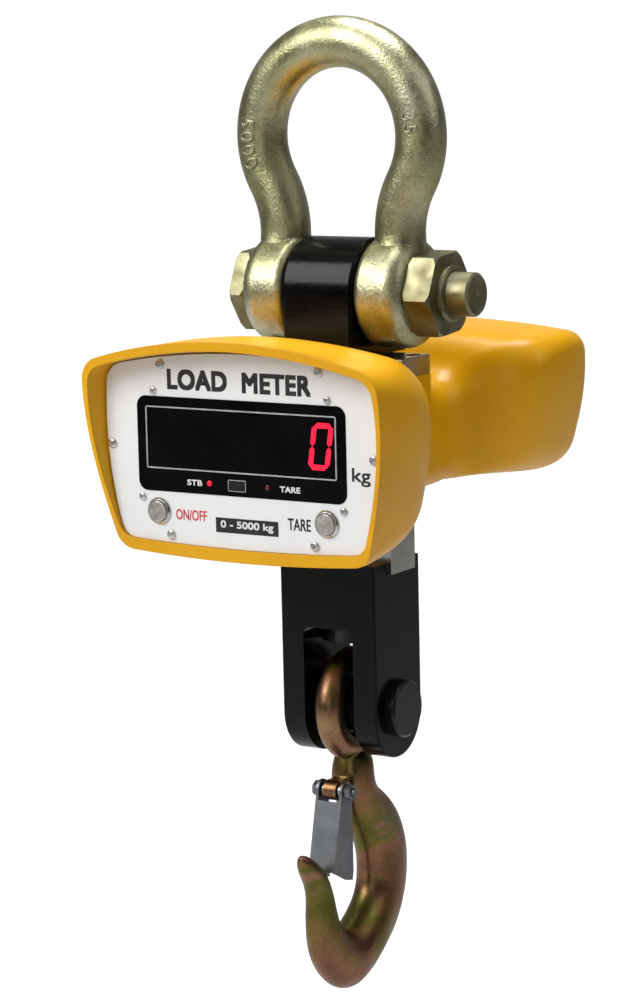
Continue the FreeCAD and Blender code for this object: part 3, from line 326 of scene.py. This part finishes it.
slot_of = {part["node"]: part["material_slot"] for part in frame["record"]["subparts"]}
for node_name, node_object in frame["nodes"].items():
    for index in range(len(node_object.data.materials)):
        node_object.data.materials[index] = FINISHES[slot_of[node_name]]


# ---------------------------------------------------------------- pieces made here
def piece(name, vertices, faces, material, body, slot, smooth=True):
    mesh = bpy.data.meshes.new(name)
    mesh.from_pydata([tuple(v) for v in vertices], [], faces)
    made = bpy.data.objects.new(name, mesh)
    bpy.context.scene.collection.objects.link(made)
    mesh.materials.append(material)
    shape = bmesh.new()
    shape.from_mesh(mesh)
    bmesh.ops.recalc_face_normals(shape, faces=shape.faces)
    shape.to_mesh(mesh)
    shape.free()
    for polygon in mesh.polygons:
        polygon.use_smooth = smooth
    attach(made, body)
    return made


def swept_tube(path, radius, sides=12):
    """Vertices and faces of a round wire along a list of points, closed at both ends."""
    vertices = []
    faces = []
    normal = None
    for index, point in enumerate(path):
        ahead = path[min(index + 1, len(path) - 1)] - path[max(index - 1, 0)]
        ahead.normalize()
        if normal is None:
            normal = ahead.orthogonal().normalized()
        normal = (normal - ahead * normal.dot(ahead)).normalized()
        side = ahead.cross(normal)
        for step in range(sides):
            angle = 2 * math.pi * step / sides
            vertices.append(point + (normal * math.cos(angle) + side * math.sin(angle)) * radius)
        if index:
            start = (index - 1) * sides
            for step in range(sides):
                turn = (step + 1) % sides
                faces.append((start + step, start + turn, start + sides + turn, start + sides + step))
    faces.append(tuple(range(sides - 1, -1, -1)))
    faces.append(tuple(range(len(path) * sides - sides, len(path) * sides)))
    return vertices, faces


def joined(*groups):
    vertices = []
    faces = []
    for more_vertices, more_faces in groups:
        start = len(vertices)
        vertices.extend(more_vertices)
        faces.extend([tuple(start + i for i in face) for face in more_faces])
    return vertices, faces


def helix(centre, radius, start_x, end_x, turns, per_turn=28):
    """Points of a helix whose axis runs along X."""
    count = int(turns * per_turn)
    points = []
    for index in range(count + 1):
        share = index / count
        angle = 2 * math.pi * turns * share
        points.append(spot(start_x + (end_x - start_x) * share,
                           centre[0] + radius * math.cos(angle), centre[1] + radius * math.sin(angle)))
    return points


def latch_spring():
    """Two wire coils round the latch bolt, one on each side of the hook's boss."""
    near, far = SPRING_SPAN
    coils = [swept_tube(helix(LATCH_PIVOT, SPRING_R, side * near, side * far, SPRING_TURNS),
                        SPRING_WIRE / 1000, 10) for side in (1, -1)]
    made = piece("latch_spring_coils", *joined(*coils), FINISHES["spring_steel"], "hook", "spring_steel")
    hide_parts("latch_spring")


def bolt_thread():
    """Turns of thread on the short length of bolt that stands proud of the nut."""
    start, end = THREAD_SPAN
    turns = swept_tube(helix((0, 0), THREAD_R, start, end, 1.6, per_turn=72), 0.75 / 1000, 6)
    piece("shackle_bolt_thread", *turns, FINISHES["zinc_bolt"], "shackle", "zinc_bolt")


def letters(text, height, spacing=1.0):
    """Flat lettering as a mesh in the XZ plane, its lower left corner at the origin, in mm."""
    curve = bpy.data.curves.new("lettering", "FONT")
    curve.body = text
    curve.size = 1.0
    curve.space_character = spacing
    curve.resolution_u = 5
    holder = bpy.data.objects.new("lettering", curve)
    bpy.context.scene.collection.objects.link(holder)
    bpy.context.view_layer.update()
    mesh = bpy.data.meshes.new_from_object(holder.evaluated_get(bpy.context.evaluated_depsgraph_get()))
    bpy.data.objects.remove(holder)
    low_x = min(v.co.x for v in mesh.vertices)
    low_y = min(v.co.y for v in mesh.vertices)
    tall = max(v.co.y for v in mesh.vertices) - low_y
    scale = height / tall
    vertices = [((v.co.x - low_x) * scale, (v.co.y - low_y) * scale) for v in mesh.vertices]
    faces = [tuple(p.vertices) for p in mesh.polygons]
    bpy.data.meshes.remove(mesh)
    return vertices, faces


def thick(flat_vertices, faces, depth):
    """A flat sheet given a back and side walls, as (u, v, depth) points."""
    shape = bmesh.new()
    made = [shape.verts.new((u, v, 0)) for u, v in flat_vertices]
    for face in faces:
        try:
            shape.faces.new([made[i] for i in face])
        except ValueError:
            continue
    bmesh.ops.remove_doubles(shape, verts=shape.verts, dist=1e-5)
    grown = bmesh.ops.extrude_face_region(shape, geom=list(shape.faces))
    for item in grown["geom"]:
        if isinstance(item, bmesh.types.BMVert):
            item.co.z = depth
    shape.verts.index_update()
    vertices = [tuple(v.co) for v in shape.verts]
    solid_faces = [tuple(v.index for v in side.verts) for side in shape.faces]
    shape.free()
    return vertices, solid_faces


def printed(name, text, left, low, height, width, material, slot, bold, spacing=1.0, front=PANEL_FRONT):
    """Printed wording, a thin film on the panel or the window, struck several times to thicken it."""
    flat, faces = letters(text, height - bold, spacing)
    factor = (width - bold) / max(u for u, v in flat)
    steps = 3
    shifts = [(bold * i / steps, bold * j) for i in range(steps + 1) for j in (0, 1)]
    groups = []
    for index, (du, dv) in enumerate(shifts):
        vertices, solid = thick([(u * factor, v) for u, v in flat], faces, INK + 0.002 * index)
        groups.append(([spot(left + du + u, front - d, low + dv + v) for u, v, d in vertices], solid))
    piece(name, *joined(*groups), material, "scale", slot, smooth=False)


def rounded_plate(name, x0, x1, z0, z1, radius, front, depth, material, slot):
    """Flat printed or moulded plate with rounded corners."""
    rim = []
    for cx, cz, begin in ((x1 - radius, z1 - radius, 0), (x0 + radius, z1 - radius, 90),
                          (x0 + radius, z0 + radius, 180), (x1 - radius, z0 + radius, 270)):
        for step in range(7):
            angle = math.radians(begin + 15 * step)
            rim.append((cx + radius * math.cos(angle), cz + radius * math.sin(angle)))
    vertices, faces = thick(rim, [tuple(range(len(rim)))], depth)
    places = [spot(u, front - d, v) for u, v, d in vertices]
    piece(name, places, faces, material, "scale", slot, smooth=False)


def lit_zero():
    """The last digit, lit: six of its seven bars show through the dark window."""
    centre_x, centre_z = DIGIT
    wide, high = DIGIT_SIZE
    slant = math.tan(math.radians(DIGIT_SLANT))
    groups = []

    def light_bar(cx, cz, length, lying):
        half = length / 2
        thin = DIGIT_BAR / 2
        ring = [(-half, 0), (-half + thin, thin), (half - thin, thin),
                (half, 0), (half - thin, -thin), (-half + thin, -thin)]
        flat = []
        for along, across in ring:
            dx, dz = (along, across) if lying else (across, along)
            flat.append((centre_x + cx + dx + slant * (cz + dz), centre_z + cz + dz))
        vertices, faces = thick(flat, [tuple(range(6))], 0.05)
        groups.append(([spot(u, WINDOW_FRONT - d, v) for u, v, d in vertices], faces))

    reach_x = (wide - DIGIT_BAR) / 2
    reach_z = (high - DIGIT_BAR) / 2
    for cz in (reach_z, -reach_z):
        light_bar(0, cz, 2 * reach_x - DIGIT_GAP, True)
    for cx in (reach_x, -reach_x):
        for cz in (reach_z / 2, -reach_z / 2):
            light_bar(cx, cz, reach_z - DIGIT_GAP, False)
    piece("lit_digit", *joined(*groups), LIT, "scale", "segment_lens", smooth=False)


def lamp_dome(name, x, material):
    """Low domed lens over a status lamp."""
    rings = 6
    sides = 24
    seat = WINDOW_FRONT - LAMP_SEAT
    vertices = [spot(x, seat - LAMP_RISE, LAMP_Z)]
    faces = []
    for ring in range(1, rings + 1):
        share = ring / rings
        for step in range(sides):
            angle = 2 * math.pi * step / sides
            vertices.append(spot(x + LAMP_R * share * math.cos(angle),
                                 seat - LAMP_RISE * math.sqrt(max(0.0, 1 - share * share)),
                                 LAMP_Z + LAMP_R * share * math.sin(angle)))
    for step in range(sides):
        turn = (step + 1) % sides
        faces.append((0, 1 + step, 1 + turn))
        for ring in range(rings - 1):
            a = 1 + ring * sides
            faces.append((a + step, a + sides + step, a + sides + turn, a + turn))
    faces.append(tuple(range(1 + (rings - 1) * sides, 1 + rings * sides)))
    piece(name, vertices, faces, material, "scale", "lamp_lens")


def receiver_surround():
    """Thin light line round the remote receiver's filter."""
    front = WINDOW_FRONT - 0.2
    left, right, low, high = RECEIVER
    bars = [(left, right, high - RECEIVER_LINE, high), (left, right, low, low + RECEIVER_LINE),
            (left, left + RECEIVER_LINE, low, high), (right - RECEIVER_LINE, right, low, high)]
    groups = []
    for x0, x1, z0, z1 in bars:
        vertices, faces = thick([(x0, z0), (x1, z0), (x1, z1), (x0, z1)], [(0, 1, 2, 3)], 0.08)
        groups.append(([spot(u, front - d, v) for u, v, d in vertices], faces))
    piece("receiver_line", *joined(*groups), FINISHES["frame_line"], "scale", "frame_line", smooth=False)


def bow_point(travel):
    """Centre and direction of the bar on the bow's left half, by the way run from the crown."""
    sweep = math.acos((LIMB_HALF + NECK_BEND) / (BOW_BEND + NECK_BEND))
    limit = math.pi / 2 + sweep
    if travel <= limit * BOW_BEND:
        angle = travel / BOW_BEND
        centre = (-BOW_BEND * math.sin(angle), BOW_CENTRE_Z + BOW_BEND * math.cos(angle))
        along = (-math.cos(angle), -math.sin(angle))
        return centre, along
    bend_x = LIMB_HALF + NECK_BEND
    bend_z = BOW_CENTRE_Z - (BOW_BEND + NECK_BEND) * math.sin(sweep)
    angle = sweep - (travel - limit * BOW_BEND) / NECK_BEND
    centre = (-bend_x + NECK_BEND * math.cos(angle), bend_z + NECK_BEND * math.sin(angle))
    along = (math.sin(angle), -math.cos(angle))
    return centre, along


def forged_marks(name, text, start, height, side):
    """Raised numerals that follow the bow's bar round its section and along its bend."""
    flat, faces = letters(text, height, 1.15)
    vertices, solid = thick(flat, faces, MARK_HEIGHT)
    places = []
    for u, v, d in vertices:
        (cx, cz), (ax, az) = bow_point(start + u)
        out = (-az, ax)
        if out[0] * cx + out[1] * (cz - BOW_CENTRE_Z) < 0:
            out = (az, -ax)
        angle = MARK_TURN + side * (v - height / 2) / BOW_R
        radius = BOW_R - MARK_SUNK + d
        across = radius * math.sin(angle)
        places.append(spot(-side * (cx + out[0] * across), -radius * math.cos(angle), cz + out[1] * across))
    piece(name, places, solid, FINISHES["galvanised"], "shackle", "galvanised", smooth=False)


latch_spring()
bolt_thread()
lit_zero()
lamp_dome("stable_lamp_dome", LAMP_X[0], LIT)
lamp_dome("tare_lamp_dome", LAMP_X[1], FINISHES["lamp_lens"])
receiver_surround()
forged_marks("bow_numerals_left", "5000", 88.0, 11.0, side=-1)
forged_marks("bow_numerals_right", "35", 84.0, 10.0, side=1)

printed("print_heading", "LOAD  METER", -56.8, -55.6, 14.0, 112.8, INK_BLACK, "black_paint", bold=1.5,
        spacing=1.06)
printed("print_stable", "STB", -42.6, -119.1, 4.0, 12.0, INK_WHITE, "white_paint", bold=0.35,
        front=WINDOW_FRONT)
printed("print_tare_small", "TARE", 30.4, -119.2, 4.0, 15.8, INK_WHITE, "white_paint", bold=0.35,
        front=WINDOW_FRONT)
printed("print_unit", "kg", 85.6, -111.8, 12.0, 14.0, INK_BLACK, "black_paint", bold=0.4)
printed("print_on_off", "ON/OFF", -52.6, -142.9, 7.2, 24.8, INK_RED, "segment_lens", bold=0.3)
printed("print_tare", "TARE", 35.8, -144.0, 8.0, 17.7, INK_BLACK, "black_paint", bold=0.4)
rounded_plate("print_range_plate", -20.8, 28.4, -149.2, -139.2, 0.5, PANEL_FRONT, INK, INK_BLACK,
              "black_paint")
printed("print_range", "0 - 5000 kg", -17.0, -147.3, 6.4, 41.5, INK_WHITE, "white_paint", bold=0.4,
        front=PANEL_FRONT - INK)


# ---------------------------------------------------------------- floor, light and camera
def studio_sheet():
    """A floor that sweeps up into a backdrop behind the hanging scale."""
    profile = [(-6.0, FLOOR_Z), (SWEEP_START, FLOOR_Z)]
    for step in range(1, 13):
        angle = math.radians(90 * step / 12)
        profile.append((SWEEP_START + SWEEP_R * math.sin(angle), FLOOR_Z + SWEEP_R * (1 - math.cos(angle))))
    profile.append((SWEEP_START + SWEEP_R, 7.0))
    turn = Matrix.Rotation(math.radians(CAMERA_TURN), 4, "Z")
    vertices = []
    faces = []
    for index, (depth, height) in enumerate(profile):
        for side in (-9.0, 9.0):
            vertices.append(turn @ Vector((side, depth, height)))
        if index:
            a = 2 * (index - 1)
            faces.append((a, a + 1, a + 3, a + 2))
    mesh = bpy.data.meshes.new("studio_sheet")
    mesh.from_pydata(vertices, [], faces)
    for polygon in mesh.polygons:
        polygon.use_smooth = True
    look = Finish("pale_sheet", 0.9)
    look.colour(look.ramp(look.noise(2.0), [(0.3, (0.55, 0.55, 0.55)), (0.7, (0.60, 0.60, 0.60))]))
    seen = look.node("LightPath")
    glow = look.span(seen.outputs["Is Camera Ray"], 0.0, SHEET_GLOW, 0.0, 1.0)
    look.link(glow, look.shader.inputs["Emission Strength"])
    look.shader.inputs["Emission Color"].default_value = (1.0, 1.0, 1.0, 1.0)
    mesh.materials.append(look.material)
    sheet = bpy.data.objects.new("studio_sheet", mesh)
    bpy.context.scene.collection.objects.link(sheet)


def soft_light(name, place, aim, size, power):
    data = bpy.data.lights.new(name, "AREA")
    data.shape = "RECTANGLE"
    data.size, data.size_y = size
    data.energy = power
    lamp = bpy.data.objects.new(name, data)
    bpy.context.scene.collection.objects.link(lamp)
    lamp.location = place
    lamp.rotation_euler = (Vector(aim) - Vector(place)).to_track_quat("-Z", "Y").to_euler()


def camera():
    """The camera, placed by its turn round the scale, its rise, its roll and how far away it is."""
    turn, rise, roll = (math.radians(a) for a in (CAMERA_TURN, CAMERA_RISE, CAMERA_ROLL))
    back = Vector((math.sin(turn) * math.cos(rise), -math.cos(turn) * math.cos(rise), math.sin(rise)))
    right = Vector((math.cos(turn), math.sin(turn), 0))
    up = back.cross(right)
    right_rolled = right * math.cos(roll) + up * math.sin(roll)
    up_rolled = up * math.cos(roll) - right * math.sin(roll)
    middle = spot(0, 0, CAMERA_AIM_Z) + right * CAMERA_SHIFT
    data = bpy.data.cameras.new("camera")
    data.sensor_width = 36.0
    data.lens = 112.3
    data.clip_start = 0.05
    data.clip_end = 60.0
    holder = bpy.data.objects.new("camera", data)
    bpy.context.scene.collection.objects.link(holder)
    axes = Matrix((right_rolled, up_rolled, back)).transposed().to_4x4()
    holder.matrix_world = Matrix.Translation(middle + back * CAMERA_AWAY) @ axes
    bpy.context.scene.camera = holder


def surroundings():
    """Soft surroundings, bright overhead and dim low down, which the bright metal mirrors."""
    world = bpy.data.worlds.new("studio")
    bpy.context.scene.world = world
    world.use_nodes = True
    tree = world.node_tree
    back = tree.nodes["Background"]
    place = tree.nodes.new("ShaderNodeTexCoord")
    split = tree.nodes.new("ShaderNodeSeparateXYZ")
    ramp = tree.nodes.new("ShaderNodeValToRGB")
    span = tree.nodes.new("ShaderNodeMapRange")
    span.inputs["From Min"].default_value = -1.0
    stops = [(0.0, 0.10), (0.45, 0.10), (0.60, 0.30), (0.80, 1.0)]
    while len(ramp.color_ramp.elements) < len(stops):
        ramp.color_ramp.elements.new(0.5)
    for element, (share, level) in zip(ramp.color_ramp.elements, stops):
        element.position = share
        element.color = (level, level, level * 1.02, 1.0)
    seen = tree.nodes.new("ShaderNodeLightPath")
    strength = tree.nodes.new("ShaderNodeMapRange")
    strength.inputs["To Min"].default_value = WORLD_LIGHT
    strength.inputs["To Max"].default_value = WHITE_SEEN
    pick = tree.nodes.new("ShaderNodeMix")
    pick.data_type = "RGBA"
    pick.inputs[7].default_value = (1.0, 1.0, 1.0, 1.0)
    tree.links.new(place.outputs["Generated"], split.inputs[0])
    tree.links.new(split.outputs["Z"], span.inputs["Value"])
    tree.links.new(span.outputs["Result"], ramp.inputs["Fac"])
    tree.links.new(seen.outputs["Is Camera Ray"], pick.inputs[0])
    tree.links.new(ramp.outputs["Color"], pick.inputs[6])
    tree.links.new(pick.outputs[2], back.inputs["Color"])
    tree.links.new(seen.outputs["Is Camera Ray"], strength.inputs["Value"])
    tree.links.new(strength.outputs["Result"], back.inputs["Strength"])


bpy.context.scene.view_settings.view_transform = "Standard"
studio_sheet()
surroundings()
soft_light("key", (-1.5, -2.6, 1.9), (0, 0, -0.3), (2.4, 2.4), 122.0)
soft_light("front", (0.9, -2.9, 0.2), (0, 0, -0.3), (0.8, 1.2), 4.0)
soft_light("right", (2.6, 0.3, 1.3), (0, 0, -0.25), (1.4, 1.8), 10.0)
soft_light("top", (-0.2, 0.4, 2.4), (0, 0, -0.1), (1.5, 1.5), 84.0)
camera()
